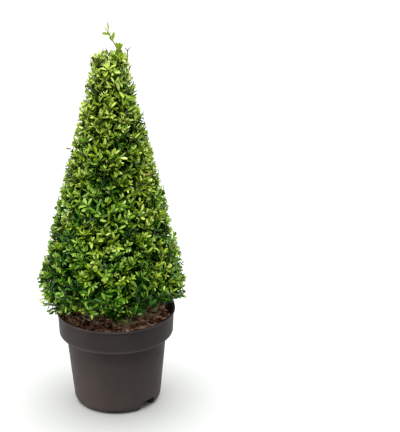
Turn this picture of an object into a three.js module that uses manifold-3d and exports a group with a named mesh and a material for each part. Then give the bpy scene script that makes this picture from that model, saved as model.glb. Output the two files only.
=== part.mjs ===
// A boxwood clipped to a cone, in its nursery pot. Millimetres, +Z up.
// The origin is the centre of the pot's flat underside, and -Y is the front.
import * as THREE from "three";
import { mergeVertices } from "three/addons/utils/BufferGeometryUtils.js";
import Module from "manifold-3d";

// Pot: a thin shell with a deep collar and a small lip. The tapers are per millimetre of height.
const POT_HEIGHT = 215;
const LIP_RADIUS = 130;
const LIP_HEIGHT = 4;
const LIP_OVERHANG = 2.6;
const COLLAR_HEIGHT = 55;
const COLLAR_ROUND = 4.5;
const COLLAR_TAPER = 0.043;
const BODY_TAPER = 0.097;
const BODY_FOOT_RADIUS = 94.8;
const FOOT_ROUND = 15;
const WALL = 2;
const FLOOR = 2.4;
const POT_SIDES = 40;

// Two arched recesses in the foot let water out, and a ring of round holes drains the floor
const ARCH_ANGLES = [-46.5, 133.5];
const ARCH_WIDTH = 40;
const ARCH_HEIGHT = 21;
const ARCH_SHOULDER = 4;
const ARCH_INNER = 62;
const DRAIN_RADIUS = 6;
const DRAIN_RING = 46;
const DRAINS = 6;

// Compost, a little higher at the trunk
const SOIL_EDGE_HEIGHT = 195;
const SOIL_HEIGHT = 199;
const SOIL_FLAT_RADIUS = 34;

// Trunk, from its flat cut on the compost to the tip under the leader
const TRUNK_RADIUS = 11;
const TRUNK_TIP_RADIUS = 2.6;
const TRUNK_TIP_HEIGHT = 762;
const TRUNK_SIDES = 12;
const TRUNK_STEPS = 22;
const FLARE = 8;
const FLARE_HEIGHT = 14;
const FLARE_LOBES = 5;
const TRUNK_SWAY = 3.5;
const TRUNK_TIP_LEAN = 14;

// Crown outline as [radius, height], from its hem over the pot's rim to its clipped top.
// Its axis stands a little to the left of the pot's at the hem, and leans back over it at the top.
const CROWN_SHIFT = -5;
const CROWN_LEAN = 4.5;
const HEM = [136, 258];
const WIDEST = [162, 272];
const SHOULDER = [36, 770];
const TOP = [0, 786];
const CROWN = [HEM, WIDEST, SHOULDER, TOP];
const TIER_NAMES = ["foliage_lower", "foliage_middle", "foliage_upper"];
const TIER_LEVELS = [376, 548];
const LAYER_SLOPE = 1;
const CORE_DEPTH = 26;
const CORE_FOOT = 254;
const CORE_TOP = 752;
const CORE_SIDES = 16;
const SPRIGS = 120;
const CROWDING_UP = 0.9;
const SEED = 20240;

// Sprig: a three-sided twig with two opposite pairs of leaves and one at its tip
const TWIG_RADIUS = 2.2;
const TWIG_TIP_RADIUS = 1.3;
const TWIG_SUNK = 12;
const TIP_INSET = 28;
const INSET_SPREAD = 3;
const OUTLINE_SLACK = 5;
const GROWTH_LIFT = 0.65;
const LIFT_SPREAD = 0.07;
const LEAF_LENGTH = 34;
const LEAF_WIDTH = 21;
const LEAF_THICKNESS = 3;
const LEAF_WIDEST = 0.56;
const LEAF_SUNK = 0.6;
const TURNS_TRIED = 12;
const TIP_LEAF = { behindTip: 2, angle: 28 };
const PAIRS = [
  { behindTip: 11, angle: 64 },
  { behindTip: 3, angle: 48 },
];

// Low sprigs that hang from the hem, as the azimuth in degrees, radius and height that each reaches
const LOW_SPRIGS = [
  [-88, 128, 240],
  [-104, 132, 250],
  [-130, 143, 254],
  [-150, 148, 240],
  [-166, 150, 238],
  [-178, 160, 238],
  [168, 156, 236],
  [140, 150, 240],
  [112, 148, 246],
  [84, 144, 240],
  [58, 150, 244],
  [30, 154, 240],
  [4, 160, 240],
  [-14, 156, 252],
  [-38, 150, 258],
  [-62, 140, 256],
];
const LOW_DROOP = 0.5;
const LOW_REACH = 66;

// Leader: the one shoot that the shears left standing at the top
const LEADER_PATH = [
  [14, 0, 762],
  [19, -2, 781],
  [14, -3, 798],
  [-2, -2, 828],
];
const LEADER_RADIUS = 2.1;
const LEADER_TAPER = 0.6;
const LEADER_SIDES = 6;
const LEADER_STEPS = 8;
const LEADER_LEAVES = [
  { at: 0.36, heading: 190, rise: 62, length: 24 },
  { at: 0.38, heading: 330, rise: 55, length: 22 },
  { at: 0.54, heading: 20, rise: 74, length: 20 },
  { at: 0.56, heading: 215, rise: 66, length: 17 },
  { at: 0.64, heading: 290, rise: 62, length: 18 },
  { at: 0.8, heading: 5, rise: 82, length: 16 },
  { at: 0.97, heading: 185, rise: 6, length: 14 },
  { at: 0.98, heading: 160, rise: 48, length: 14 },
  { at: 1, heading: 180, rise: 88, length: 24 },
];
const LEADER_ROOM = 7;

// Gaps: between pieces that touch, between the sloped tiers, round the faceted trunk, and round leaves
const GAP = 0.3;
const TIER_GAP = GAP * Math.hypot(1, LAYER_SLOPE);
const TRUNK_GAP = 0.45;
const LEAF_ROOM = 1;
const POT_ROOM = 2;
const TRUNK_ROOM = 3;

const wasm = await Module();
wasm.setup();

const UP = new THREE.Vector3(0, 0, 1);
const RIGHT = new THREE.Vector3(1, 0, 0);
const GOLDEN_ANGLE = Math.PI * (3 - Math.sqrt(5));

const outwardAt = (azimuth) => new THREE.Vector3(Math.cos(azimuth), Math.sin(azimuth), 0);

// Random numbers from a seed, the same on every run
function seeded(seed) {
  let state = seed;
  return (low, high) => {
    state = (state * 1664525 + 1013904223) % 4294967296;
    return low + (high - low) * (state / 4294967296);
  };
}

// A closed geometry as a solid that can be joined and cut
function solidFrom(geometry) {
  const bare = geometry.clone();
  bare.deleteAttribute("normal");
  bare.deleteAttribute("uv");
  const merged = mergeVertices(bare, 1e-4);
  const mesh = new wasm.Mesh({
    numProp: 3,
    vertProperties: merged.getAttribute("position").array,
    triVerts: new Uint32Array(merged.index.array),
  });
  return new wasm.Manifold(mesh);
}

// The largest body of a solid, without the scraps and sealed hollows that joining leaves
function largestBody(solid) {
  const bodies = solid.decompose();
  return bodies.reduce((best, body) => (body.volume() > best.volume() ? body : best));
}

function geometryFrom(solid) {
  const { vertProperties, triVerts } = solid.getMesh();
  const geometry = new THREE.BufferGeometry();
  geometry.setAttribute("position", new THREE.BufferAttribute(vertProperties, 3));
  geometry.setIndex(new THREE.BufferAttribute(triVerts, 1));
  geometry.computeVertexNormals();
  return geometry;
}

const join = (solids) => solids.reduce((whole, solid) => whole.add(solid));

// A solid turned about Z from a profile of [radius, height], listed from the foot up
function turned(profile, sides) {
  const points = profile.map(([radius, height]) => new THREE.Vector2(radius, height));
  return new THREE.LatheGeometry(points, sides).rotateX(Math.PI / 2);
}

// Points on a quarter round about a centre, from one angle to another, in degrees
function arc([radius, height], size, from, to, steps) {
  const points = [];
  for (let i = 0; i <= steps; i++) {
    const angle = THREE.MathUtils.degToRad(from + ((to - from) * i) / steps);
    points.push([radius + size * Math.cos(angle), height + size * Math.sin(angle)]);
  }
  return points;
}

const COLLAR_FOOT = POT_HEIGHT - COLLAR_HEIGHT;
const bodyRadius = (z) => BODY_FOOT_RADIUS + BODY_TAPER * z;
const collarRadius = (z) => LIP_RADIUS - LIP_OVERHANG - COLLAR_TAPER * (POT_HEIGHT - z);

// The pot's outer face from its foot up to the collar, moved inwards by inset and cut off below foot
function potFace(inset, foot) {
  const roundTop = COLLAR_FOOT + COLLAR_ROUND;
  const roundCentre = collarRadius(roundTop) - COLLAR_ROUND;
  return [
    ...arc([bodyRadius(FOOT_ROUND) - FOOT_ROUND, FOOT_ROUND], FOOT_ROUND - inset, -90, 0, 3).map(
      ([radius, height]) => [radius, Math.max(height, foot)],
    ),
    [bodyRadius(COLLAR_FOOT) - inset, COLLAR_FOOT + inset],
    ...arc([roundCentre, roundTop], COLLAR_ROUND - inset, -90, 0, 2),
  ];
}

// A recess under the foot, grown on all sides but its foot by the given amount
function archSolid(angle, grown) {
  const depth = LIP_RADIUS - ARCH_INNER;
  const shape = new THREE.Shape();
  const half = ARCH_WIDTH / 2 + grown;
  const top = ARCH_HEIGHT + grown;
  shape.moveTo(-half, -1);
  shape.lineTo(half, -1);
  shape.lineTo(half, top - ARCH_SHOULDER);
  shape.lineTo(half - ARCH_SHOULDER, top);
  shape.lineTo(ARCH_SHOULDER - half, top);
  shape.lineTo(-half, top - ARCH_SHOULDER);
  shape.closePath();
  const box = new THREE.ExtrudeGeometry(shape, { depth: depth + grown, bevelEnabled: false });
  box.rotateX(Math.PI / 2);
  box.rotateZ(Math.PI / 2);
  box.translate(ARCH_INNER - grown, 0, 0);
  box.rotateZ(THREE.MathUtils.degToRad(angle));
  return solidFrom(box);
}

function drainHoles() {
  const holes = [];
  for (let i = 0; i < DRAINS; i++) {
    const angle = (2 * Math.PI * i) / DRAINS;
    const hole = new THREE.CylinderGeometry(DRAIN_RADIUS, DRAIN_RADIUS, 4 * FLOOR, 10);
    hole.rotateX(Math.PI / 2);
    hole.translate(DRAIN_RING * Math.cos(angle), DRAIN_RING * Math.sin(angle), FLOOR / 2);
    holes.push(solidFrom(hole));
  }
  return join(holes);
}

function potGeometry() {
  const outside = potFace(0, 0);
  const inside = potFace(WALL, FLOOR);
  const lipFoot = POT_HEIGHT - LIP_HEIGHT;
  const shell = [
    [0, 0],
    ...outside,
    [collarRadius(lipFoot), lipFoot],
    [LIP_RADIUS, lipFoot + 1],
    [LIP_RADIUS, POT_HEIGHT - 1],
    [LIP_RADIUS - 1, POT_HEIGHT],
    [collarRadius(POT_HEIGHT) - WALL, POT_HEIGHT],
    ...inside.reverse(),
    [0, FLOOR],
  ];
  const filled = [[0, 0], ...outside, [collarRadius(POT_HEIGHT), POT_HEIGHT], [0, POT_HEIGHT]];
  const whole = solidFrom(turned(filled, POT_SIDES));
  let pot = solidFrom(turned(shell, POT_SIDES));
  for (const angle of ARCH_ANGLES) {
    const vault = archSolid(angle, WALL).intersect(whole);
    pot = pot.add(vault).subtract(archSolid(angle, 0));
  }
  return geometryFrom(largestBody(pot.subtract(drainHoles())));
}

function soilGeometry() {
  const clearance = WALL + GAP;
  const profile = [
    [0, FLOOR + GAP],
    ...potFace(clearance, FLOOR + GAP),
    [collarRadius(SOIL_EDGE_HEIGHT) - clearance, SOIL_EDGE_HEIGHT],
    [SOIL_FLAT_RADIUS, SOIL_HEIGHT],
    [0, SOIL_HEIGHT],
  ];
  let soil = solidFrom(turned(profile, POT_SIDES));
  for (const angle of ARCH_ANGLES) {
    soil = soil.subtract(archSolid(angle, WALL + GAP));
  }
  return geometryFrom(largestBody(soil));
}

const TRUNK_FOOT = SOIL_HEIGHT + GAP;

// The trunk's centre line sways a little and leans at its tip, where the leader starts
function trunkCentre(z) {
  const t = (z - TRUNK_FOOT) / (TRUNK_TIP_HEIGHT - TRUNK_FOOT);
  return new THREE.Vector3(
    TRUNK_SWAY * Math.sin(2 * Math.PI * t) + TRUNK_TIP_LEAN * t ** 3,
    TRUNK_SWAY * Math.sin(3 * Math.PI * t) * (1 - t),
    z,
  );
}

function trunkRadius(z) {
  const t = (z - TRUNK_FOOT) / (TRUNK_TIP_HEIGHT - TRUNK_FOOT);
  return TRUNK_RADIUS + (TRUNK_TIP_RADIUS - TRUNK_RADIUS) * t ** 0.85;
}

// The root flare stands out in lobes and fades in a few millimetres
function flareAt(z, angle) {
  const fade = Math.exp(-(z - TRUNK_FOOT) / FLARE_HEIGHT);
  return FLARE * fade * (0.7 + 0.3 * Math.cos(FLARE_LOBES * angle));
}

// The trunk grown by a clearance, with steps that are shorter towards its foot
function trunkGeometry(clearance) {
  const trunk = new THREE.CylinderGeometry(1, 1, 1, TRUNK_SIDES, TRUNK_STEPS).rotateX(Math.PI / 2);
  const position = trunk.getAttribute("position");
  const height = TRUNK_TIP_HEIGHT - TRUNK_FOOT;
  for (let i = 0; i < position.count; i++) {
    const z = TRUNK_FOOT + height * (position.getZ(i) + 0.5) ** 1.6;
    const angle = Math.atan2(position.getY(i), position.getX(i));
    const share = Math.hypot(position.getX(i), position.getY(i));
    const radius = share * (trunkRadius(z) + flareAt(z, angle) + clearance);
    const centre = trunkCentre(z);
    position.setXYZ(i, centre.x + radius * Math.cos(angle), centre.y + radius * Math.sin(angle), z);
  }
  return trunk;
}

// The crown's surface at a share of its area, counted from the hem, with its outward normal
function crownPoint(share) {
  const areas = [];
  for (let i = 1; i < CROWN.length; i++) {
    const [r1, z1] = CROWN[i - 1];
    const [r2, z2] = CROWN[i];
    areas.push((r1 + r2) * Math.hypot(r2 - r1, z2 - z1));
  }
  let left = share * areas.reduce((a, b) => a + b);
  let i = 0;
  while (i < areas.length - 1 && left > areas[i]) {
    left -= areas[i];
    i += 1;
  }
  const [r1, z1] = CROWN[i];
  const [r2, z2] = CROWN[i + 1];
  const radius = Math.sqrt(r1 ** 2 + ((r2 ** 2 - r1 ** 2) * left) / areas[i]);
  const height = z1 + ((z2 - z1) * (radius - r1)) / (r2 - r1);
  const length = Math.hypot(r2 - r1, z2 - z1);
  return { radius, height, normal: [(z2 - z1) / length, (r1 - r2) / length] };
}

// The crown's radius at a height, which is zero above and below the crown
function crownRadius(z) {
  for (let i = 1; i < CROWN.length; i++) {
    const [r1, z1] = CROWN[i - 1];
    const [r2, z2] = CROWN[i];
    if (z >= z1 && z <= z2) return r1 + ((r2 - r1) * (z - z1)) / (z2 - z1);
  }
  return 0;
}

// Tiers are nested cups: a point's layer is its height less a share of its distance from the axis
const layerOf = (radius, z) => z - LAYER_SLOPE * radius;
const TIER_LAYERS = [-Infinity, ...TIER_LEVELS.map((z) => layerOf(crownRadius(z), z)), Infinity];

// The tier that a point belongs to
const tierOf = (point) => {
  const layer = layerOf(Math.hypot(point.x, point.y), point.z);
  return TIER_LAYERS.filter((low) => layer > low).length - 1;
};

// The space of a tier: the cup between its lowest and its highest layer
function tierSpace(tier) {
  const edge = 2 * WIDEST[0];
  const low = Math.max(TIER_LAYERS[tier], -edge) + TIER_GAP / 2;
  const high = Math.min(TIER_LAYERS[tier + 1], TOP[1] + edge) - TIER_GAP / 2;
  const rise = LAYER_SLOPE * edge;
  return solidFrom(turned([[0, low], [edge, low + rise], [edge, high + rise], [0, high]], CORE_SIDES));
}

// The core: the dense inside of the clipped crown
function coreSolid() {
  const profile = [
    [0, CORE_FOOT],
    [HEM[0] - CORE_DEPTH / 2, CORE_FOOT],
    [WIDEST[0] - CORE_DEPTH, WIDEST[1]],
    [SHOULDER[0] - CORE_DEPTH / 2, CORE_TOP],
    [0, CORE_TOP],
  ];
  return solidFrom(turned(profile, CORE_SIDES));
}

// The six corners of a leaf, whose root is at the origin and whose blade runs along +X
function leafGeometry(length) {
  const leaf = new THREE.OctahedronGeometry(1);
  const position = leaf.getAttribute("position");
  const width = (LEAF_WIDTH * length) / LEAF_LENGTH;
  for (let i = 0; i < position.count; i++) {
    const along = position.getX(i);
    const share = along === 0 ? LEAF_WIDEST : (along + 1) / 2;
    position.setXYZ(
      i,
      share * (length + LEAF_SUNK) - LEAF_SUNK,
      (position.getY(i) * width) / 2,
      (position.getZ(i) * LEAF_THICKNESS) / 2,
    );
  }
  return leaf;
}

function placedLeaf(root, along, across, length) {
  const face = new THREE.Vector3().crossVectors(along, across);
  const matrix = new THREE.Matrix4().makeBasis(along, across, face).setPosition(root);
  return leafGeometry(length).applyMatrix4(matrix);
}

// A leaf on a stem: turn goes round the stem, and angle leans the leaf away from it, in degrees
function leafOnStem(root, stem, turn, angle, length) {
  const aside = Math.abs(stem.z) < 0.9 ? UP : RIGHT;
  const side = new THREE.Vector3().crossVectors(stem, aside).normalize();
  side.applyAxisAngle(stem, THREE.MathUtils.degToRad(turn));
  const lean = THREE.MathUtils.degToRad(angle);
  const along = stem.clone().multiplyScalar(Math.cos(lean)).addScaledVector(side, Math.sin(lean));
  return placedLeaf(root, along, new THREE.Vector3().crossVectors(stem, side), length);
}

// A leaf that points to a heading round the vertical, at a rise above the level, in degrees
function leafTowards(root, heading, rise, length) {
  const level = outwardAt(THREE.MathUtils.degToRad(heading));
  const tilt = THREE.MathUtils.degToRad(rise);
  const along = level.clone().multiplyScalar(Math.cos(tilt)).addScaledVector(UP, Math.sin(tilt));
  return placedLeaf(root, along, new THREE.Vector3().crossVectors(UP, level), length);
}

// A three-sided twig that tapers from its root along its stem
function twigGeometry(root, stem, length) {
  const twig = new THREE.CylinderGeometry(TWIG_TIP_RADIUS, TWIG_RADIUS, length, 3);
  twig.translate(0, length / 2, 0);
  const turn = new THREE.Quaternion().setFromUnitVectors(new THREE.Vector3(0, 1, 0), stem);
  return twig.applyQuaternion(turn).translate(root.x, root.y, root.z);
}

// The corners of a geometry and the middles of its edges, to test where it lies
function samplePoints(geometry) {
  const position = geometry.getAttribute("position");
  const points = [];
  for (let i = 0; i < position.count; i++) {
    points.push(new THREE.Vector3().fromBufferAttribute(position, i));
  }
  const middles = points.map((point, i) => point.clone().lerp(points[(i + 1) % points.length], 0.5));
  return [...points, ...middles];
}

const leaderCurve = new THREE.CatmullRomCurve3(LEADER_PATH.map((p) => new THREE.Vector3(...p)));

// Where the crown's axis stands at a height
const crownAxis = (z) => CROWN_SHIFT + (CROWN_LEAN * (z - HEM[1])) / (TOP[1] - HEM[1]);

// A point of the whole part, counted from the crown's own axis
const inCrown = (point) => new THREE.Vector3(point.x - crownAxis(point.z), point.y, point.z);

// A geometry moved sideways by a number of times the place of the crown's axis at each height
function moveByAxis(geometry, times) {
  const position = geometry.getAttribute("position");
  for (let i = 0; i < position.count; i++) {
    position.setX(i, position.getX(i) + times * crownAxis(position.getZ(i)));
  }
  return geometry;
}

// How far a point of the crown is from the leader's centre line
function leaderDistance(point) {
  return Math.min(...leaderCurve.getPoints(12).map((p) => inCrown(p).distanceTo(point)));
}

// Whether a point is in a tier's own space, clear of the crown's outside, trunk and leader
function inTier(point, tier) {
  const radius = Math.hypot(point.x, point.y);
  const layer = layerOf(radius, point.z);
  const outline = crownRadius(THREE.MathUtils.clamp(point.z, WIDEST[1], SHOULDER[1]));
  const trunk = inCrown(trunkCentre(Math.min(point.z, TRUNK_TIP_HEIGHT)));
  return (
    layer > TIER_LAYERS[tier] + LEAF_ROOM &&
    layer < TIER_LAYERS[tier + 1] - LEAF_ROOM &&
    radius < outline + OUTLINE_SLACK &&
    point.z > POT_HEIGHT + POT_ROOM &&
    point.z < TOP[1] + OUTLINE_SLACK &&
    trunk.distanceTo(point) > TRUNK_TIP_RADIUS + TRUNK_ROOM &&
    leaderDistance(point) > LEADER_ROOM
  );
}

// A sprig's leaves at a turn round its stem, without those that would leave the tier's space
function sprigLeaves(tip, stem, turn, sizes, tier) {
  const end = tip.clone().addScaledVector(stem, -TIP_LEAF.behindTip);
  const leaves = [leafOnStem(end, stem, turn + 45, TIP_LEAF.angle, sizes[0])];
  PAIRS.forEach(({ behindTip, angle }, pair) => {
    const node = tip.clone().addScaledVector(stem, -behindTip);
    for (const half of [0, 1]) {
      const size = sizes[1 + 2 * pair + half];
      leaves.push(leafOnStem(node, stem, turn + 90 * pair + 180 * half, angle, size));
    }
  });
  return leaves.filter((leaf) => samplePoints(leaf).every((point) => inTier(point, tier)));
}

// A sprig whose leaves reach a point, along a stem of a length that starts in the core.
// Of a few turns round its stem it takes the one that keeps the most leaves.
function sprig(reached, stem, length, random) {
  const inset = TIP_INSET + random(0, 2 * INSET_SPREAD);
  const tip = reached.clone().addScaledVector(stem, -inset);
  const root = reached.clone().addScaledVector(stem, -length);
  const tier = tierOf(tip);
  const sizes = [0, 1, 2, 3, 4].map(() => LEAF_LENGTH * random(0.88, 1.06));
  const firstTurn = random(0, 180);
  let leaves = [];
  for (let i = 0; i < TURNS_TRIED; i++) {
    const tried = sprigLeaves(tip, stem, firstTurn + (180 * i) / TURNS_TRIED, sizes, tier);
    if (tried.length > leaves.length) leaves = tried;
  }
  return { tier, pieces: [twigGeometry(root, stem, length - inset), ...leaves] };
}

// One of the sprigs that cover the crown's surface evenly
function surfaceSprig(index, random) {
  const { radius, height, normal } = crownPoint(((index + 0.5) / SPRIGS) ** CROWDING_UP);
  const outward = outwardAt(index * GOLDEN_ANGLE + random(-0.1, 0.1));
  const face = outward.clone().multiplyScalar(normal[0]).addScaledVector(UP, normal[1]);
  const lift = GROWTH_LIFT + random(-LIFT_SPREAD, LIFT_SPREAD);
  const stem = face.clone().addScaledVector(UP, lift).normalize();
  const surface = outward.clone().multiplyScalar(radius).addScaledVector(UP, height);
  return sprig(surface, stem, (CORE_DEPTH + TWIG_SUNK) / stem.dot(face), random);
}

// One of the sprigs that hang out of the hem
function lowSprig([degrees, radius, height], random) {
  const outward = outwardAt(THREE.MathUtils.degToRad(degrees));
  const stem = outward.clone().addScaledVector(UP, -LOW_DROOP).normalize();
  return sprig(outward.multiplyScalar(radius).addScaledVector(UP, height), stem, LOW_REACH, random);
}

// Each tier is its core with its sprigs fused on, kept in its space and cut clear of the trunk
function tierGeometries() {
  const random = seeded(SEED);
  const tiers = TIER_NAMES.map(() => [coreSolid()]);
  const sprigs = LOW_SPRIGS.map((low) => lowSprig(low, random));
  for (let index = 0; index < SPRIGS; index++) {
    sprigs.push(surfaceSprig(index, random));
  }
  sprigs.forEach(({ tier, pieces }) => tiers[tier].push(...pieces.map(solidFrom)));
  const room = solidFrom(moveByAxis(trunkGeometry(TRUNK_GAP), -1));
  return tiers.map((solids, tier) => {
    const foliage = join(solids).intersect(tierSpace(tier)).subtract(room);
    return moveByAxis(geometryFrom(largestBody(foliage)), 1);
  });
}

// The leader: one tapering shoot with its young leaves, standing on the trunk's tip
function leaderGeometry() {
  const stem = new THREE.CylinderGeometry(1, 1, 1, LEADER_SIDES, LEADER_STEPS).rotateX(Math.PI / 2);
  const position = stem.getAttribute("position");
  for (let i = 0; i < position.count; i++) {
    const t = position.getZ(i) + 0.5;
    const centre = leaderCurve.getPoint(t);
    const size = LEADER_RADIUS * (1 - LEADER_TAPER * t);
    const x = centre.x + size * position.getX(i);
    const y = centre.y + size * position.getY(i);
    position.setXYZ(i, x, y, centre.z + GAP);
  }
  const leaves = LEADER_LEAVES.map(({ at, heading, rise, length }) =>
    leafTowards(leaderCurve.getPoint(at), heading, rise, length),
  );
  return geometryFrom(largestBody(join([stem, ...leaves].map(solidFrom))));
}

const LOOKS = {
  pot: { color: 0x3b3634, roughness: 0.62, metalness: 0 },
  soil: { color: 0x3a2119, roughness: 0.95, metalness: 0 },
  trunk: { color: 0x6f5f48, roughness: 0.9, metalness: 0 },
  foliage: { color: 0x4f7a1e, roughness: 0.45, metalness: 0 },
  leader: { color: 0x8aa634, roughness: 0.45, metalness: 0 },
};

const topiary = new THREE.Group();

function addPiece(name, geometry, look) {
  const piece = new THREE.Mesh(geometry, new THREE.MeshStandardMaterial(LOOKS[look]));
  piece.name = name;
  topiary.add(piece);
}

addPiece("pot", potGeometry(), "pot");
addPiece("soil", soilGeometry(), "soil");
addPiece("trunk", trunkGeometry(0), "trunk");
tierGeometries().forEach((geometry, tier) => addPiece(TIER_NAMES[tier], geometry, "foliage"));
addPiece("leader_shoot", leaderGeometry(), "leader");

export default topiary;
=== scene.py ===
import random
from collections import namedtuple
from math import cos, exp, hypot, pi, radians, sin, sqrt

import bpy
import numpy as np
from mathutils import Matrix, Quaternion, Vector, noise


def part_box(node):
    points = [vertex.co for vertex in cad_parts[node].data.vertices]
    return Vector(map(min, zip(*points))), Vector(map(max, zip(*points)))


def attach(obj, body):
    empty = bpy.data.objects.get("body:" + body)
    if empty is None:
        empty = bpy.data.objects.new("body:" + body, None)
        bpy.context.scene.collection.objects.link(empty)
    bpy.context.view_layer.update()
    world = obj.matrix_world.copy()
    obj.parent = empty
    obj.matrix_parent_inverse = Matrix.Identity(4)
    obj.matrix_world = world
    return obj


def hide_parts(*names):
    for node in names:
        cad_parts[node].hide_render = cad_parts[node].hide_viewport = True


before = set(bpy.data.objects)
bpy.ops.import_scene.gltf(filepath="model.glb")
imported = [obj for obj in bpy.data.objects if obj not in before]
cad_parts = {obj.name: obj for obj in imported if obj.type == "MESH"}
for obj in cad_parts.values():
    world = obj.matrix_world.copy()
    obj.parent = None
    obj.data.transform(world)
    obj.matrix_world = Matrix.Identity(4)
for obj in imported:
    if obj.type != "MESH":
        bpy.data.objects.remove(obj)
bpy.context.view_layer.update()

MM = 0.001
UP = Vector((0, 0, 1))
RIGHT = Vector((1, 0, 0))
GOLDEN_ANGLE = pi * (3 - sqrt(5))
rng = random.Random(20240)

# Pot, as in the solids
POT_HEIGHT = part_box("pot")[1].z
LIP_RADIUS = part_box("pot")[1].x
LIP_HEIGHT = 4 * MM
LIP_OVERHANG = 2.6 * MM
LIP_EDGE = 0.8 * MM
MOUTH_EDGE = 0.4 * MM
COLLAR_HEIGHT = 55 * MM
COLLAR_FOOT = POT_HEIGHT - COLLAR_HEIGHT
COLLAR_ROUND = 4.5 * MM
COLLAR_TAPER = 0.043
BODY_TAPER = 0.097
BODY_FOOT_RADIUS = 94.8 * MM
FOOT_ROUND = 15 * MM
WALL = 2 * MM
FLOOR = 2.4 * MM
POT_SIDES = 160
POT_STEPS = 8
ARCH_ANGLES = (-46.5, 133.5)
ARCH_WIDTH = 40 * MM
ARCH_HEIGHT = 21 * MM
ARCH_SHOULDER = 5 * MM
ARCH_STEPS = 6
ARCH_INNER = 62 * MM
DRAIN_RADIUS = 6 * MM
DRAIN_RING = 46 * MM
DRAINS = 6

# How light the plastic is by share of the pot's height: dust with painted floor bounce at the foot,
# a painted shadow line and a painted highlight with scuffs at the collar's foot, painted shade on
# the collar under the crown, and a painted highlight with scuffs on the lip
POT_PAINTED_LIGHT_AND_WEAR = (
    (0, 0.56), (0.2, 0.46), (0.7, 0.24), (0.742, 0.14), (0.748, 0.62), (0.764, 0.44),
    (0.79, 0.09), (0.975, 0.09), (0.985, 0.44), (1, 0.44),
)
POT_CLOUDING = 0.3
POT_COLOR = (0.028, 0.022, 0.020)
POT_TONES = (
    (0.1, (0.014, 0.0115, 0.0110)),
    (0.5, (0.030, 0.0237, 0.0218)),
    (0.9, (0.062, 0.0492, 0.0455)),
)

# Compost
GAP = 0.3 * MM
SOIL_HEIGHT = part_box("soil")[1].z
SOIL_EDGE_HEIGHT = SOIL_HEIGHT - 4 * MM
SOIL_RINGS = 30
SOIL_SIDES = 120
SOIL_SETTLING = 1.5 * MM
LUMP_HEIGHT = 3.2 * MM
LUMPS_PER_METRE = 38
LUMP_FADE = 0.6
CRUMB_HEIGHT = 0.8 * MM
CRUMBS_PER_METRE = 260
PATCHINESS = 0.28
PATCH_NOISE = (0.3, 0.7)
SOIL_STOPS = (0.36, 0.5, 0.66)
SOIL_TONES = ((0.018, 0.007, 0.005), (0.27, 0.115, 0.072), (0.72, 0.42, 0.27))

# Chips of bark, and the share and the dark, middle and light tones of each kind
CHIPS = 2600
CHIP_LENGTHS = (2.6 * MM, 13 * MM)
CHIP_WIDTHS = (0.3, 0.7)
CHIP_DEPTHS = (0.1, 0.3)
CHIP_SPREAD = 0.985
CHIP_PITCH = 0.3
CHIP_ROLL = 0.25
CHIP_LIFT = 0.6
CHIP_WEAR = 0.55
CHIP_KINDS = {
    "chips_dark": (0.36, (0.012, 0.005, 0.004), (0.085, 0.036, 0.024), (0.26, 0.13, 0.08)),
    "chips_red": (0.46, (0.15, 0.050, 0.028), (0.50, 0.20, 0.115), (0.84, 0.50, 0.32)),
    "chips_tan": (0.18, (0.38, 0.24, 0.13), (0.78, 0.60, 0.40), (0.90, 0.82, 0.64)),
}

# Trunk
TRUNK_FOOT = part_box("trunk")[0].z
TRUNK_TIP_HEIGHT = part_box("trunk")[1].z
TRUNK_RADIUS = 11 * MM
TRUNK_TIP_RADIUS = 2.6 * MM
TRUNK_TAPER = 0.85
TRUNK_SIDES = 32
TRUNK_STEPS = 150
TRUNK_CROWDING = 1.3
FLARE = 8 * MM
FLARE_HEIGHT = 14 * MM
FLARE_LOBES = 5
FLARE_LOBING = 0.3
TRUNK_SWAY = 3.5 * MM
TRUNK_TIP_LEAN = 14 * MM
BARK_RELIEF = 0.9 * MM
BARK_RELIEF_SHARE = 0.12
FURROWS_ROUND = 2.2
FURROWS_PER_METRE = 60
FURROW_LEVEL = 0.4

# Dark and light tones of the bark
TRUNK_TONES = ((0.060, 0.045, 0.030), (0.26, 0.21, 0.145))
BOUGH_TONES = ((0.055, 0.045, 0.028), (0.20, 0.17, 0.11))
TWIG_TONES = ((0.040, 0.048, 0.012), (0.15, 0.13, 0.055))
LEADER_TONES = ((0.16, 0.20, 0.05), (0.30, 0.30, 0.10))

# Crown outline as (radius, height), from its hem over the pot's rim to its clipped top
CROWN_SHIFT = -5 * MM
CROWN_LEAN = 4.5 * MM
HEM = (136 * MM, 258 * MM)
WIDEST = (162 * MM, 272 * MM)
SHOULDER = (36 * MM, 770 * MM)
TOP = (0, 786 * MM)
CROWN = (HEM, WIDEST, SHOULDER, TOP)
TIERS = ("lower", "middle", "upper")
UPPER_TIER = TIERS.index("upper")
TIER_LEVELS = (376 * MM, 548 * MM)

# Boughs
BOUGHS = 46
BOUGH_POINTS = 9
BOUGH_DEPTH = 72 * MM
BOUGH_DEPTH_SHARE = 0.62
BOUGH_LOWEST = 12 * MM
BOUGH_STEEPNESS = 0.9
BOUGH_DROP = 20 * MM
BOUGH_BULGE = 0.12
BOUGH_RADIUS = 2.2 * MM
BOUGH_THICKENING = 0.018
BOUGH_TAPER = 0.6

# Sprays, whose shoots end at the clipped surface
SPRAYS = 420
SPRAY_SCATTER = 0.08
CROWDING_UP = 0.86
RELIEF = 9 * MM
RELIEF_PER_METRE = 24
RELIEF_FADE = 1.6
RELIEF_LEVEL = 0.3
TIP_SCATTER = 3 * MM
TIP_SLACK = 4 * MM
GROWTH_LIFT = 0.8
LIFT_SPREAD = (0.5, 1.3)
LIFT_BY_HEIGHT = (0.8, 0.7)
TOP_GROWTH = 13 * MM
TOP_SPREAD = (-0.2, 0.3)
TOP_SHADE = -1.2
YOUNG_TOP = 0.9

# Shaded sprays behind them
INNER_SPRAYS = 450
INNER_REACH = 0.985
INNER_DEPTHS = (18 * MM, 62 * MM)
SHADE_DEPTH = 25 * MM

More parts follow.
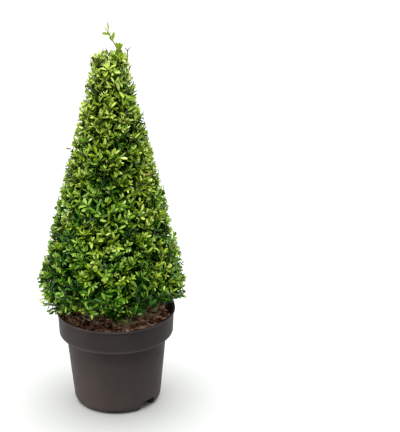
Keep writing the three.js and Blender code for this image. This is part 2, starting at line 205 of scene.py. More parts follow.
# A spray's stem, and the twig that joins it to a bough
STEM_LENGTH = 58 * MM
STEM_SHARE = 0.75
STEM_SHORTEST = 14 * MM
STEM_SWAY = (0.2, 0.2, 0.1)
STEM_RADIUS = 1.5 * MM
JOINT_POINTS = 5
JOINT_SAG = 6 * MM
JOINT_RADIUS = 1.7 * MM
SHOOT_TAPER = 0.45

# A spray's side shoots: angles in degrees, and SIDE_SLACK in millimetres
SIDE_SHOOTS = 4
SIDE_FIRST = 9 * MM
SIDE_STEP = 10 * MM
SIDE_JITTER = 0.3
SIDE_LAST = 0.9
SIDE_TURNS = (110, 170)
SIDE_LEANS = (24, 44)
SIDE_LEAST_RISE = 0.25
SIDE_SLACK = 10
SIDE_SHORTEST = 11 * MM
SIDE_LONGEST = 44 * MM
SIDE_RADIUS = 1.0 * MM
SIDE_SHADE = 0.3

# A spray's tone, age and light: younger and warmer towards the top
TONE_MEAN = 1.02
TONE_SPREAD = 0.85
TONE_FALL = 1.6
SPRAY_AGES = (0, 0, 0, 1, 1, 2)
WARM_AT_HEM = 0.2
WARM_RISE = 0.85
LIGHT_OUT = 0.2
LIGHT_UP = 0.3
LIGHT_MOST = 0.8

# Pairs of leaves along a shoot
NODE_FIRST = 1.2 * MM
NODE_STEP = 7.2 * MM
NODE_TIP_STEP = 0.6
NODE_SPREAD = (0.85, 1.2)
NODE_LAST = 0.96
NODE_TWIST = 0.25

# Leaves, with their angles from the shoot in degrees
LEAF_LENGTH = 19 * MM
LEAF_SIZES = (0.74, 1.1)
SIZE_SPREAD = (0.9, 1.08)
LEAF_WIDTHS = (0.46, 0.74)
LEAF_FOLDS = (0.2, 0.75)
LEAF_CURLS = (-0.06, 0.2)
YOUNGEST_SIZE = 0.62
SIZE_BY_AGE = 0.16
LEAF_ANGLES = (18, 52)
ANGLE_SPREAD = 9
OPEN_AGE = 3
LEAF_TWIST = 0.3
LEAF_LEAN = 0.1
LEAF_ROUGHNESS = 0.34
LEAF_ROOM = 1.5 * MM
SOIL_ROOM = 2 * MM
OUTLINE_SLACK = 6 * MM

# Leaf outline: shares of the length, and half widths as shares of it
LEAF_STATIONS = (0.2, 0.55, 0.87)
LEAF_HALF_WIDTHS = (0.14, 0.265, 0.19)

# The hem's underside, as (azimuth in degrees, lowest height of a leaf in millimetres)
HEM_FLOOR = (
    (-180, 236), (-166, 230), (-150, 229), (-142, 238), (-130, 252), (-120, 262), (-110, 264),
    (-104, 246), (-96, 240), (-92, 230), (-80, 228), (-75, 250), (-62, 262), (-48, 266), (-38, 266),
    (-26, 260), (-14, 248), (0, 240), (30, 232), (90, 226), (150, 228), (180, 236),
)

# Right of the front the hem's lowest leaves are dealt darker tones as painted shade, as (azimuth in
# degrees, tones darker)
HEM_SHADE_TONES = ((-80, 0), (-70, 2.2), (-28, 2.2), (-10, 0))
HEM_SHADE_HEIGHTS = (258 * MM, 296 * MM)

# Low sprays, as (azimuth in degrees, radius and height that they reach in millimetres, tones darker
# as painted shade; below nought, tones lighter as painted light)
LOW_SPRAYS = (
    (-84, 126, 232, 0.3), (-90, 126, 232, 0.3), (-101, 128, 244, 0.3), (-130, 143, 254, 0.3),
    (-150, 148, 240, 0), (-166, 150, 238, 0), (-178, 160, 238, 0.4), (168, 156, 236, 0.8),
    (140, 150, 240, 0.8), (112, 148, 246, 0.8), (84, 144, 240, 0.8), (58, 150, 244, 0.8),
    (30, 154, 240, 0.8), (4, 160, 240, 0.8), (-14, 156, 252, 0.8), (-38, 150, 258, 1.6),
    (-62, 140, 256, 1.8), (-143, 142, 246, -0.8), (-154, 150, 234, -1.6), (-150, 134, 236, -0.6),
    (-18, 163, 258, -0.4),
)
LOW_DROOP = 0.5
LOW_INSET = 6 * MM

# Young shoots round the leader, as their tips in millimetres
TOP_SHOOTS = ((27, -10, 786), (32, -6, 779), (24, 6, 782), (-22, -8, 784), (-29, -4, 778))
TOP_LEAN = 0.45

# Bare twigs, each as its root, its fork and its two ends in millimetres
BARE_TWIGS = (
    ((34, -6, 762), (36, -8, 792), (31, -9, 799), (43, -8, 800)),
    ((5, -12, 768), (-1, -14, 784), (-8, -15, 800), (1, -15, 795)),
    ((-24, -8, 766), (-32, -10, 776), (-40, -10, 779), (-37, -11, 782)),
    ((35, -10, 742), (40, -12, 757), (44, -13, 764), (38, -13, 762)),
)
TWIG_RADIUS = 1.5 * MM
TWIG_POINTS = 5
TWIG_TAPER = 0.05
TWIG_BEND = 2
FORK_TAPERS = (0.8, 0.45)

# Leader, and its leaves as (share of its length, azimuth and rise in degrees, length in millimetres)
LEADER_PATH = ((14, 0, 762), (19, -2, 781), (14, -3, 798), (-2, -2, 828))
LEADER_STEPS = 24
LEADER_RADIUS = 2.4 * MM
LEADER_TAPER = 0.5
LEADER_WIDTHS = (0.66, 0.84)
LEADER_LEAVES = (
    (0, 200, 34, 22), (0.02, 335, 42, 20), (0.04, 262, 46, 22), (0.05, 120, 40, 18),
    (0.1, 186, 52, 23), (0.11, 8, 56, 20), (0.13, 285, 55, 22), (0.16, 95, 48, 18),
    (0.2, 222, 60, 20), (0.22, 320, 62, 19), (0.25, 60, 56, 18), (0.28, 180, 68, 16),
    (0.5, 190, 82, 19), (0.5, 8, 64, 19), (0.52, 280, 72, 18), (0.54, 100, 70, 16),
    (0.58, 352, 70, 17), (0.62, 180, 86, 14),
    (0.78, 186, 54, 15), (0.83, 8, 82, 18), (0.84, 200, 66, 13), (0.9, 172, 60, 12),
    (0.97, 188, 16, 16), (0.97, 70, 30, 9), (0.99, 178, 54, 15), (1, 180, 88, 23),
)

# The leader's last leaves are the youngest, and turn less to the front than the others
LEADER_YOUNG = 0.98
LEADER_LIGHT = (0, -2, 0.4)
YOUNG_LIGHT = (0, -0.4, 0.4)

# Dead leaves on the crown, as (azimuth in degrees, height in millimetres)
DEAD_LEAVES = ((183, 582), (-96, 583), (-42, 543), (60, 610), (120, 470), (40, 350))
DEAD_SUNK = 2 * MM
DEAD_RISES = (-0.2, 0.3)
DEAD_LENGTHS = (14, 18)
DEAD_LIGHT = (0, -0.9, 0.5)
DEAD_COLOR = (0.30, 0.20, 0.085)

# Leaves that lie on the compost
FALLEN_LEAVES = 16
FALLEN_RING = (0.7, 0.9)
FALLEN_LIFT = 2.5 * MM
FALLEN_TILT = 0.15
FALLEN_LENGTHS = (11, 17)
FALLEN_TURNS = (0, 6.3)
FALLEN_ANGLE = radians(84)
FALLEN_COLOR = (0.33, 0.30, 0.06)

# Tones of leaf from the youngest to the oldest: how much each reflects, and its linear colour in
# the cooler and the warmer green
FAMILIES = ("cool", "warm")
TONES = {
    "bud": (0.55, (0.42, 0.58, 0.105), (0.48, 0.60, 0.105)),
    "young": (0.55, (0.26, 0.43, 0.050), (0.32, 0.45, 0.040)),
    "fresh": (0.48, (0.145, 0.30, 0.014), (0.200, 0.31, 0.008)),
    "green": (0.4, (0.078, 0.200, 0.004), (0.112, 0.195, 0.004)),
    "deep": (0.28, (0.022, 0.100, 0.001), (0.042, 0.105, 0.001)),
    "old": (0.16, (0.005, 0.042, 0.001), (0.010, 0.046, 0.001)),
}

# Studio, with each sun's place, strength and softness in degrees
OVERHEAD_SUN = ((-0.03, 0.1, 1), 3.6, 80)
KEY_SUN = ((0.02, -0.6, 1.1), 3.2, 14)
SIDE_SUN = ((-1, -0.15, 0.3), 3.3, 40)
SIDE_COLOR = (1, 0.91, 0.87)
FILL_SUN = ((-0.3, -1, 0.9), 1.2, 60)
SKY_STRENGTH = 0.29
FLOOR_SIZE = 40
FLOOR_COLOR = (0.87, 0.885, 0.865)

# Camera, with its dip and turn in degrees
CAMERA_PLACE = (0, -2.73, 1.469)
CAMERA_DIP = 20.9
CAMERA_TURN = -3.876
CAMERA_LENS = 113.6

# What a shoot's leaves share: their tier, the light that they turn to, the age of the youngest,
# how many tones darker they are, and whether they are of the warmer green
Growth = namedtuple("Growth", "tier light age tone warm")


def crown_slope(index):
    """The run, rise and length of one stretch of the crown's outline."""
    (r1, z1), (r2, z2) = CROWN[index], CROWN[index + 1]
    return r2 - r1, z2 - z1, hypot(r2 - r1, z2 - z1)


def crown_point(share):
    """Radius, height and outward normal of the crown's surface at a share of its area."""
    stretches = range(len(CROWN) - 1)
    areas = [(CROWN[i][0] + CROWN[i + 1][0]) * crown_slope(i)[2] for i in stretches]
    left = share * sum(areas)
    index = 0
    while index < stretches[-1] and left > areas[index]:
        left -= areas[index]
        index += 1
    (r1, z1), (r2, z2) = CROWN[index], CROWN[index + 1]
    run, rise, length = crown_slope(index)
    radius = sqrt(r1 ** 2 + (r2 ** 2 - r1 ** 2) * left / areas[index])
    height = z1 + rise * (radius - r1) / run
    return radius, height, (rise / length, -run / length)


def crown_radius(z):
    """The crown's radius at a height, held below its widest place and over its top."""
    radii, heights = zip(*CROWN[1:])
    return np.interp(z, heights, radii)


def crown_axis(z):
    """Where the crown's axis stands at a height."""
    return CROWN_SHIFT + CROWN_LEAN * (z - HEM[1]) / (TOP[1] - HEM[1])


def crown_share(z):
    """A height as a share of the way from the crown's hem to its top."""
    return (z - HEM[1]) / (TOP[1] - HEM[1])


def tier_of(point):
    """Tiers are nested cups, so a point's layer is its height less its distance from the axis."""
    layer = point.z - hypot(point.x - crown_axis(point.z), point.y)
    return sum(layer > level - crown_radius(level) for level in TIER_LEVELS)


def trunk_share(z):
    """A height as a share of the way from the trunk's foot to its tip."""
    return (z - TRUNK_FOOT) / (TRUNK_TIP_HEIGHT - TRUNK_FOOT)


def trunk_centre(z):
    """The middle of the trunk at a height: it sways a little, and its tip leans."""
    t = trunk_share(z)
    x = TRUNK_SWAY * sin(2 * pi * t) + TRUNK_TIP_LEAN * t ** 3
    y = TRUNK_SWAY * sin(3 * pi * t) * (1 - t)
    return Vector((x, y, z))


def trunk_radius(z, angle):
    """The trunk's radius at a height and an angle round it, with the lobes of its root flare."""
    flare = FLARE * exp(-(z - TRUNK_FOOT) / FLARE_HEIGHT)
    lobes = 1 - FLARE_LOBING + FLARE_LOBING * cos(FLARE_LOBES * angle)
    tapered = TRUNK_RADIUS + (TRUNK_TIP_RADIUS - TRUNK_RADIUS) * trunk_share(z) ** TRUNK_TAPER
    return tapered + flare * lobes


def level_way(azimuth):
    """The level direction at an azimuth."""
    return Vector((cos(azimuth), sin(azimuth), 0))


def jitter(most):
    """A chance amount either way."""
    return rng.uniform(-most, most)


# Meshes

def add_mesh(name, vertices, faces, material, smooth_angle=None):
    """A mesh object, smooth all over, or with edges sharper than an angle left sharp."""
    mesh = bpy.data.meshes.new(name)
    mesh.from_pydata(vertices, [], faces)
    mesh.materials.append(material)
    mesh.shade_smooth()
    if smooth_angle is not None:
        mesh.set_sharp_from_angle(angle=radians(smooth_angle))
    piece = bpy.data.objects.new(name, mesh)
    bpy.context.collection.objects.link(piece)
    return piece


def lathe(profile, sides):
    """Vertices and faces turned about Z from a profile of (radius, height) that ends on the axis."""
    vertices, rings, faces = [], [], []
    for radius, height in profile:
        if radius < 1e-9:
            rings.append([len(vertices)])
            vertices.append((0, 0, height))
            continue
        rings.append(list(range(len(vertices), len(vertices) + sides)))
        for i in range(sides):
            angle = 2 * pi * i / sides
            vertices.append((radius * cos(angle), radius * sin(angle), height))
    for low, high in zip(rings, rings[1:]):
        for i in range(sides):
            j = (i + 1) % sides
            if len(low) == 1:
                faces.append((low[0], high[j], high[i]))
            elif len(high) == 1:
                faces.append((low[i], low[j], high[0]))
            else:
                faces.append((low[i], low[j], high[j], high[i]))
    return vertices, faces


def tube_faces(rings, sides, start=0):
    """The faces of a closed tube whose vertices run ring by ring from a start."""
    faces = []
    for k in range(rings - 1):
        for i in range(sides):
            a = start + k * sides + i
            b = start + k * sides + (i + 1) % sides
            faces.append((a, b, b + sides, a + sides))
    last = start + (rings - 1) * sides
    return faces + [tuple(range(start + sides - 1, start - 1, -1)), tuple(range(last, last + sides))]


class Tubes:
    """Tapering tubes gathered into one mesh."""

    def __init__(self):
        self.vertices = []
        self.faces = []

    def add(self, points, radii, sides):
        """A closed tube along points, with a radius at each."""
        start = len(self.vertices)
        for k, (point, radius) in enumerate(zip(points, radii)):
            ahead = points[min(k + 1, len(points) - 1)] - points[max(k - 1, 0)]
            across = around(ahead.normalized(), 0)
            other = ahead.normalized().cross(across)
            for i in range(sides):
                angle = 2 * pi * i / sides
                offset = across * cos(angle) + other * sin(angle)
                self.vertices.append(point + offset * radius)
        self.faces += tube_faces(len(points), sides, start)


def around(axis, turn):
    """A unit vector square to an axis, at a turn round it."""
    aside = UP if abs(axis.z) < 0.9 else RIGHT
    return Quaternion(axis, turn) @ axis.cross(aside).normalized()


def bend(start, middle, end, count):
    """Points on a curve from start to end that is pulled towards middle."""
    points = []
    for i in range(count):
        t = i / (count - 1)
        points.append(start * (1 - t) ** 2 + middle * (2 * t * (1 - t)) + end * t ** 2)
    return points


def boolean(piece, cutter, operation):
    """Joins or cuts a piece by a cutter, which is then removed."""
    modifier = piece.modifiers.new(operation, "BOOLEAN")
    modifier.operation = operation
    modifier.solver = "EXACT"
    modifier.object = cutter
    graph = bpy.context.evaluated_depsgraph_get()
    mesh = bpy.data.meshes.new_from_object(piece.evaluated_get(graph))
    piece.modifiers.clear()
    piece.data = mesh
    bpy.data.objects.remove(cutter)


def dress(piece, slot, *nodes):
    """The piece rides with the plant, and replaces the nodes named; the slot is not used."""
    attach(piece, "root")
    if nodes:
        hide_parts(*nodes)


# Materials

def new_material(name, color, roughness, specular):
    """A plain material, which the functions below refine."""
    material = bpy.data.materials.new(name)
    material.use_nodes = True
    shader = material.node_tree.nodes["Principled BSDF"]
    shader.inputs["Base Color"].default_value = (*color, 1)
    shader.inputs["Roughness"].default_value = roughness
    shader.inputs["Specular IOR Level"].default_value = specular
    return material


def add_node(material, kind, inputs, operation=None):
    """A node whose inputs take values, or links from other nodes' outputs."""
    node = material.node_tree.nodes.new("ShaderNode" + kind)
    if operation:
        node.operation = operation
    for name, value in inputs.items():
        if isinstance(value, bpy.types.NodeSocket):
            material.node_tree.links.new(value, node.inputs[name])
        else:
            node.inputs[name].default_value = value
    return node


def noise_node(material, scale, detail, stretch=(1, 1, 1)):
    """Noise in the object's own metres, stretched along its axes."""
    place = add_node(material, "TexCoord", {}).outputs["Object"]
    placed = add_node(material, "Mapping", {"Scale": stretch, "Vector": place}).outputs["Vector"]
    pattern = add_node(material, "TexNoise", {"Scale": scale, "Detail": detail, "Vector": placed})
    return pattern.outputs["Fac"]


def ramp_node(material, value, stops):
    """A colour ramp over a value, from stops of (place, colour)."""
    ramp = add_node(material, "ValToRGB", {"Fac": value})
    elements = ramp.color_ramp.elements
    while len(elements) < len(stops):
        elements.new(0.5)
    for element, (place, color) in zip(elements, stops):
        element.position = place
        element.color = (*color, 1)
    return ramp.outputs["Color"]


def feed(material, value, socket):
    """Feeds a value or a colour to one of the shader's sockets."""
    shader = material.node_tree.nodes["Principled BSDF"]
    material.node_tree.links.new(value, shader.inputs[socket])


def vary_roughness(material, value, low, high):
    """Lets the roughness follow a value from 0 to 1."""
    span = add_node(material, "MapRange", {"To Min": low, "To Max": high, "Value": value})
    feed(material, span.outputs["Result"], "Roughness")


def add_bump(material, value, strength, distance):
    """Roughens a material's surface by a value."""
    inputs = {"Strength": strength, "Distance": distance, "Height": value}
    feed(material, add_node(material, "Bump", inputs).outputs["Normal"], "Normal")


def pot_material():
    """Dark grey-brown plastic: cloudy and matt, with dust and painted floor bounce at the foot,
    painted highlights and scuffs at its edges, a painted shadow line under the collar, and painted
    shade on the collar.
    """
    material = new_material("pot_plastic", POT_COLOR, 0.5, 0.13)
    place = add_node(material, "TexCoord", {}).outputs["Object"]
    height = add_node(material, "SeparateXYZ", {"Vector": place}).outputs["Z"]
    level = add_node(material, "MapRange", {"From Max": POT_HEIGHT, "Value": height})
    # Painted light and shade by height, with dust and scuffs: painted floor bounce at the foot, a
    # painted shadow line and highlight at the collar's foot, painted shade on the collar, a painted
    # highlight on the lip
    painted_light_and_wear = ramp_node(material, level.outputs["Result"], [
        (share, (amount, amount, amount)) for share, amount in POT_PAINTED_LIGHT_AND_WEAR
    ])
    clouds = noise_node(material, 16, 6, (1, 1, 0.6))
    varied = add_node(material, "Math", {0: clouds, 1: POT_CLOUDING, 2: painted_light_and_wear}, "MULTIPLY_ADD")
    feed(material, ramp_node(material, varied.outputs["Value"], POT_TONES), "Base Color")
    vary_roughness(material, noise_node(material, 45, 4), 0.42, 0.62)
    add_bump(material, noise_node(material, 1400, 2), 0.12, 0.3 * MM)
    return material


def soil_material(name, tones):
    """Bark compost in its dark, middle and light tones: a grain in damp and dry patches."""
    material = new_material(name, tones[1], 0.95, 0.2)
    grain = noise_node(material, 260, 6)
    dryness = add_node(material, "MapRange", {
        "From Min": PATCH_NOISE[0],
        "From Max": PATCH_NOISE[1],
        "To Min": -PATCHINESS,
        "To Max": PATCHINESS,
        "Value": noise_node(material, 34, 3),
    })
    patchy = add_node(material, "Math", {0: grain, 1: dryness.outputs["Result"]}, "ADD")
    color = ramp_node(material, patchy.outputs["Value"], list(zip(SOIL_STOPS, tones)))
    feed(material, color, "Base Color")
    add_bump(material, grain, 0.9, 1.5 * MM)
    return material


def bark_material(name, dark, light):
    """Bark with streaks along the wood."""
    material = new_material(name, dark, 0.85, 0.25)
    streaks = noise_node(material, 190, 6, (1, 1, 0.22))
    feed(material, ramp_node(material, streaks, [(0.35, dark), (0.68, light)]), "Base Color")
    add_bump(material, streaks, 0.7, 0.8 * MM)
    return material


def leaf_material(name, color, roughness, specular):
    """Waxy leaf: one plain colour with a gloss that varies a little."""
    material = new_material(name, color, roughness, specular)
    vary_roughness(material, noise_node(material, 240, 2), roughness - 0.08, roughness + 0.1)
    return material


def leaf_look(warm, tone):
    """The material of one tone of leaf in its cooler or warmer green, made once."""
    name = f"leaf_{FAMILIES[warm]}_{tone}"
    specular, *colors = TONES[tone]
    known = bpy.data.materials.get(name)
    return known or leaf_material(name, colors[warm], LEAF_ROUGHNESS, specular)


# Pot

def body_radius(z):
    """The radius of the pot's body at a height."""
    return BODY_FOOT_RADIUS + BODY_TAPER * z


def collar_radius(z):
    """The radius of the pot's collar at a height."""
    return LIP_RADIUS - LIP_OVERHANG - COLLAR_TAPER * (POT_HEIGHT - z)


def arc(centre, size, start, end, steps):
    """Points on an arc from a start to an end in degrees."""
    points = []
    for i in range(steps + 1):
        angle = radians(start + (end - start) * i / steps)
        points.append((centre[0] + size * cos(angle), centre[1] + size * sin(angle)))
    return points


def pot_face(inset, foot, steps):
    """The pot's outer face up to the collar, moved inwards and cut off below foot."""
    foot_centre = (body_radius(FOOT_ROUND) - FOOT_ROUND, FOOT_ROUND)
    round_top = COLLAR_FOOT + COLLAR_ROUND
    collar_centre = (collar_radius(round_top) - COLLAR_ROUND, round_top)
    curl = arc(foot_centre, FOOT_ROUND - inset, -90, 0, steps)
    step = (body_radius(COLLAR_FOOT) - inset, COLLAR_FOOT + inset)
    collar = arc(collar_centre, COLLAR_ROUND - inset, -90, 0, steps)
    return [(radius, max(height, foot)) for radius, height in curl] + [step] + collar


def pot_bead():
    """The pot's profile over its lip, from the collar's outer face to its inner one."""
    lip_foot = POT_HEIGHT - LIP_HEIGHT
    lip_round = LIP_HEIGHT / 4
    mouth = collar_radius(POT_HEIGHT) - WALL
    bead = [(collar_radius(lip_foot), lip_foot)]
    bead += arc((LIP_RADIUS - LIP_EDGE, lip_foot + LIP_EDGE), LIP_EDGE, -90, 0, 3)
    bead += arc((LIP_RADIUS - lip_round, POT_HEIGHT - lip_round), lip_round, 0, 90, 5)
    return bead + [(mouth + MOUTH_EDGE, POT_HEIGHT), (mouth, POT_HEIGHT - MOUTH_EDGE)]


def arch_cutter(angle, grown):
    """A recess under the foot, grown on all sides but its foot."""
    half = ARCH_WIDTH / 2 + grown
    top = ARCH_HEIGHT + grown
    outline = [(-half, -MM), (half, -MM)]
    outline += arc((half - ARCH_SHOULDER, top - ARCH_SHOULDER), ARCH_SHOULDER, 0, 90, ARCH_STEPS)
    outline += arc((ARCH_SHOULDER - half, top - ARCH_SHOULDER), ARCH_SHOULDER, 90, 180, ARCH_STEPS)
    turn = Matrix.Rotation(radians(angle), 4, "Z")
    vertices = []
    for x in (ARCH_INNER - grown, LIP_RADIUS):
        vertices += [turn @ Vector((x, y, z)) for y, z in outline]
    count = len(outline)
    faces = [tuple(range(count - 1, -1, -1)), tuple(range(count, 2 * count))]
    for i in range(count):
        j = (i + 1) % count
        faces.append((i, j, j + count, i + count))
    return vertices, faces


def cut_arches(pot, material):
    """The arched recesses in the foot, each under a vault of the pot's own wall."""
    middle = pot_face(WALL / 2, FLOOR / 2, POT_STEPS)
    filled = [(0, FLOOR / 2)] + middle + [(0, middle[-1][1])]
    for angle in ARCH_ANGLES:
        vault = add_mesh("vault", *arch_cutter(angle, WALL), material)
        boolean(vault, add_mesh("filled_pot", *lathe(filled, POT_SIDES), material), "INTERSECT")
        boolean(pot, vault, "UNION")
        boolean(pot, add_mesh("arch", *arch_cutter(angle, 0), material), "DIFFERENCE")


def drill_drains(pot, material):
    """The ring of drain holes in the floor."""
    low, high = -FLOOR, 2 * FLOOR
    drill = [(0, low), (DRAIN_RADIUS, low), (DRAIN_RADIUS, high), (0, high)]
    for i in range(DRAINS):
        angle = 2 * pi * i / DRAINS
        centre = Vector((DRAIN_RING * cos(angle), DRAIN_RING * sin(angle), 0))
        vertices, faces = lathe(drill, 24)
        vertices = [Vector(vertex) + centre for vertex in vertices]
        boolean(pot, add_mesh("drill", vertices, faces, material), "DIFFERENCE")


def build_pot():
    """The pot's thin shell, turned from its profile, with its arches and drain holes."""
    material = pot_material()
    outside = pot_face(0, 0, POT_STEPS)
    inside = pot_face(WALL, FLOOR, POT_STEPS)
    profile = [(0, 0)] + outside + pot_bead() + inside[::-1] + [(0, FLOOR)]
    pot = add_mesh("pot_shell", *lathe(profile, POT_SIDES), material)
    cut_arches(pot, material)
    drill_drains(pot, material)
    pot.data.shade_smooth()
    pot.data.set_sharp_from_angle(angle=radians(35))
    dress(pot, "pot_plastic", "pot")


# Compost

def soil_top(x, y):
    """The compost's surface: higher at the trunk, lumpy, and lower along the wall."""
    share = hypot(x, y) / collar_radius(SOIL_HEIGHT)
    height = SOIL_HEIGHT + (SOIL_EDGE_HEIGHT - SOIL_HEIGHT) * share
    lumps = noise.fractal(Vector((x, y, 0)) * LUMPS_PER_METRE, 1.0, 2.0, 4)
    crumbs = noise.noise(Vector((x, y, 3)) * CRUMBS_PER_METRE)
    height += -SOIL_SETTLING + LUMP_HEIGHT * lumps * (1 - LUMP_FADE * share)
    return height + CRUMB_HEIGHT * crumbs


def build_soil():
    """The bed of compost, which keeps a gap to the pot's wall, floor and vaults."""
    clearance = WALL + GAP
    foot = FLOOR + GAP
    wall = [(0, foot)] + pot_face(clearance, foot, 4)
    rim = collar_radius(SOIL_EDGE_HEIGHT) - clearance
    surface = [(rim * (1 - i / SOIL_RINGS), SOIL_HEIGHT) for i in range(SOIL_RINGS)]
    vertices, faces = lathe(wall + surface + [(0, SOIL_HEIGHT)], SOIL_SIDES)
    shaped = []
    for x, y, z in vertices:
        shaped.append((x, y, soil_top(x, y) if z == SOIL_HEIGHT else z))
    material = soil_material("compost", SOIL_TONES)
    bed = add_mesh("soil_bed", shaped, faces, material)
    for angle in ARCH_ANGLES:
        boolean(bed, add_mesh("arch", *arch_cutter(angle, clearance), material), "DIFFERENCE")
    bed.data.shade_smooth()
    bed.data.set_sharp_from_angle(angle=radians(50))
    dress(bed, "bark_compost", "soil")
    build_chips(rim)


def build_chips(rim):
    """Flat chips and crumbs of bark strewn on the compost, in three tones."""
    corners = [Vector((x, y, z)) for x in (-1, 1) for y in (-1, 1) for z in (-1, 1)]
    sides = [(0, 1, 3, 2), (4, 6, 7, 5), (0, 4, 5, 1), (2, 3, 7, 6), (0, 2, 6, 4), (1, 5, 7, 3)]
    shortest, longest = CHIP_LENGTHS
    for name, (share, *tones) in CHIP_KINDS.items():
        vertices, faces = [], []
        for _ in range(int(CHIPS * share)):
            radius = rim * sqrt(rng.random()) * CHIP_SPREAD
            angle = rng.uniform(0, 2 * pi)
            length = shortest * (longest / shortest) ** rng.random()
            width = length * rng.uniform(*CHIP_WIDTHS)
            thickness = length * rng.uniform(*CHIP_DEPTHS)
            if rim - radius < length / 2:
                continue
            size = Vector((length, width, thickness)) / 2
            turn = Matrix.Rotation(rng.uniform(0, 2 * pi), 3, "Z")
            pitch = Matrix.Rotation(rng.gauss(0, CHIP_PITCH), 3, "Y")
            roll = Matrix.Rotation(rng.gauss(0, CHIP_ROLL), 3, "X")
            turn @= pitch @ roll
            x, y = radius * cos(angle), radius * sin(angle)
            centre = Vector((x, y, soil_top(x, y) + size.z * CHIP_LIFT))
            start = len(vertices)
            for corner in corners:
                varied = Vector([rng.uniform(CHIP_WEAR, 1) for _ in range(3)])
                vertices.append(centre + turn @ (corner * size * varied))
            faces += [tuple(start + k for k in side) for side in sides]
        chips = add_mesh(name, vertices, faces, soil_material(name, tones), 40)
        dress(chips, "bark_compost")


# Trunk and boughs

def build_trunk():
    """The trunk, with furrows in its bark, and rings closer together at the foot."""
    vertices = []
    height = TRUNK_TIP_HEIGHT - TRUNK_FOOT
    for k in range(TRUNK_STEPS + 1):
        z = TRUNK_FOOT + height * (k / TRUNK_STEPS) ** TRUNK_CROWDING
        centre = trunk_centre(z)
        for i in range(TRUNK_SIDES):
            angle = 2 * pi * i / TRUNK_SIDES
            out = level_way(angle)
            place = Vector((out.x * FURROWS_ROUND, out.y * FURROWS_ROUND, z * FURROWS_PER_METRE))
            furrows = noise.fractal(place, 1.0, 2.0, 4) - FURROW_LEVEL
            radius = trunk_radius(z, angle)
            relief = min(BARK_RELIEF, radius * BARK_RELIEF_SHARE)
            vertices.append(centre + out * (radius + relief * furrows))
    faces = tube_faces(TRUNK_STEPS + 1, TRUNK_SIDES)
    material = bark_material("bark", *TRUNK_TONES)
    dress(add_mesh("trunk_bark", vertices, faces, material, 60), "bark", "trunk")


def crown_place(share, azimuth, depth):
    """A point under the crown's surface, with the outward and the facing direction there."""
    radius, height, normal = crown_point(share)
    outward = level_way(azimuth)
    facing = outward * normal[0] + UP * normal[1]
    axis = Vector((crown_axis(height), 0, 0))
    return axis + outward * radius + UP * height - facing * depth, outward, facing


def bough_paths():
    """Boughs that leave the trunk low and curve out and up to well under the surface."""
    paths = []
    for index in range(BOUGHS):
        share = (index + 0.5) / BOUGHS
        end, outward, _ = crown_place(share, index * GOLDEN_ANGLE, 0)
        radius = hypot(end.x, end.y)
        end = end - outward * min(BOUGH_DEPTH, radius * BOUGH_DEPTH_SHARE)
        reach = hypot(end.x, end.y)
        start = end.z - BOUGH_STEEPNESS * reach - BOUGH_DROP
        foot = trunk_centre(max(TRUNK_FOOT + BOUGH_LOWEST, start))
        middle = foot.lerp(end, 0.5) + outward * reach * BOUGH_BULGE
        paths.append(bend(foot, middle, end, BOUGH_POINTS))
    return paths


def build_boughs(boughs):
    """The boughs as one piece, the longer ones thicker."""
    limbs = Tubes()
    for path in boughs:
        radius = BOUGH_RADIUS + BOUGH_THICKENING * (path[-1] - path[0]).length
        shares = [BOUGH_TAPER * k / (BOUGH_POINTS - 1) for k in range(BOUGH_POINTS)]
        limbs.add(path, [radius * (1 - share) for share in shares], 8)
    material = bark_material("bough_bark", *BOUGH_TONES)
    dress(add_mesh("boughs", limbs.vertices, limbs.faces, material), "bark")


# Sprays

class Crown:
    """Collects twigs by tier, and leaves as (tier, warmth, tone, row for leaf_vertices)."""

    def __init__(self):
        self.leaves = []
        self.twigs = [Tubes() for _ in TIERS]

    def traits(self):
        """The tier, warmth and tone of every leaf, each as an array."""
        return np.array([leaf[:3] for leaf in self.leaves], float).T

    def places(self):
        """The vertices of every leaf, as an array of leaf, point and coordinate."""
        return leaf_vertices([row for *_, row in self.leaves])

    def lay(self, root, along, face, length, tone=0, tier=0, warm=1, widths=LEAF_WIDTHS):
        """A leaf from its root, of chance width, fold and curl."""
        face = (face - along * face.dot(along)).normalized()
        width = rng.uniform(*widths)
        fold = rng.uniform(*LEAF_FOLDS)
        curl = rng.uniform(*LEAF_CURLS)
        self.leaves.append((tier, warm, tone, (*root, *along, *face, length, width, fold, curl)))

    def leaf(self, root, stem, turn, angle, length, tone, growth):
        """A leaf on a stem, leant away from it by an angle and turned to the light."""
        side = around(stem, turn)
        along = stem * cos(angle) + side * sin(angle)
        face = along.cross(stem.cross(side)) + growth.light
        self.lay(root, along, face, length, tone, growth.tier, growth.warm)

    def shoot(self, root, tip, radius, growth):
        """A straight shoot with opposite pairs of leaves, each pair square to the next."""
        stem = (tip - root).normalized()
        length = (tip - root).length
        self.twigs[growth.tier].add([root, tip], [radius, radius * SHOOT_TAPER], 3)
        turn = rng.uniform(0, pi)
        behind = NODE_FIRST
        age = growth.age
        narrow, wide = LEAF_ANGLES
        size = LEAF_LENGTH * rng.uniform(*LEAF_SIZES)
        while behind < length * NODE_LAST:
            node = tip - stem * behind
            grown = min(1, YOUNGEST_SIZE + SIZE_BY_AGE * age)
            opened = narrow + (wide - narrow) * min(1, age / OPEN_AGE)
            angle = radians(opened + jitter(ANGLE_SPREAD))
            for half in (0, pi):
                twist = turn + half + jitter(LEAF_TWIST)
                tone = age + growth.tone + jitter(1)
                leaf_size = size * grown * rng.uniform(*SIZE_SPREAD)
                lean = angle + jitter(LEAF_LEAN)
                self.leaf(node, stem, twist, lean, leaf_size, tone, growth)
            turn += pi / 2 + jitter(NODE_TWIST)
            step = NODE_STEP * (NODE_TIP_STEP if behind == NODE_FIRST else 1)
            behind += step * rng.uniform(*NODE_SPREAD)
            age += 1


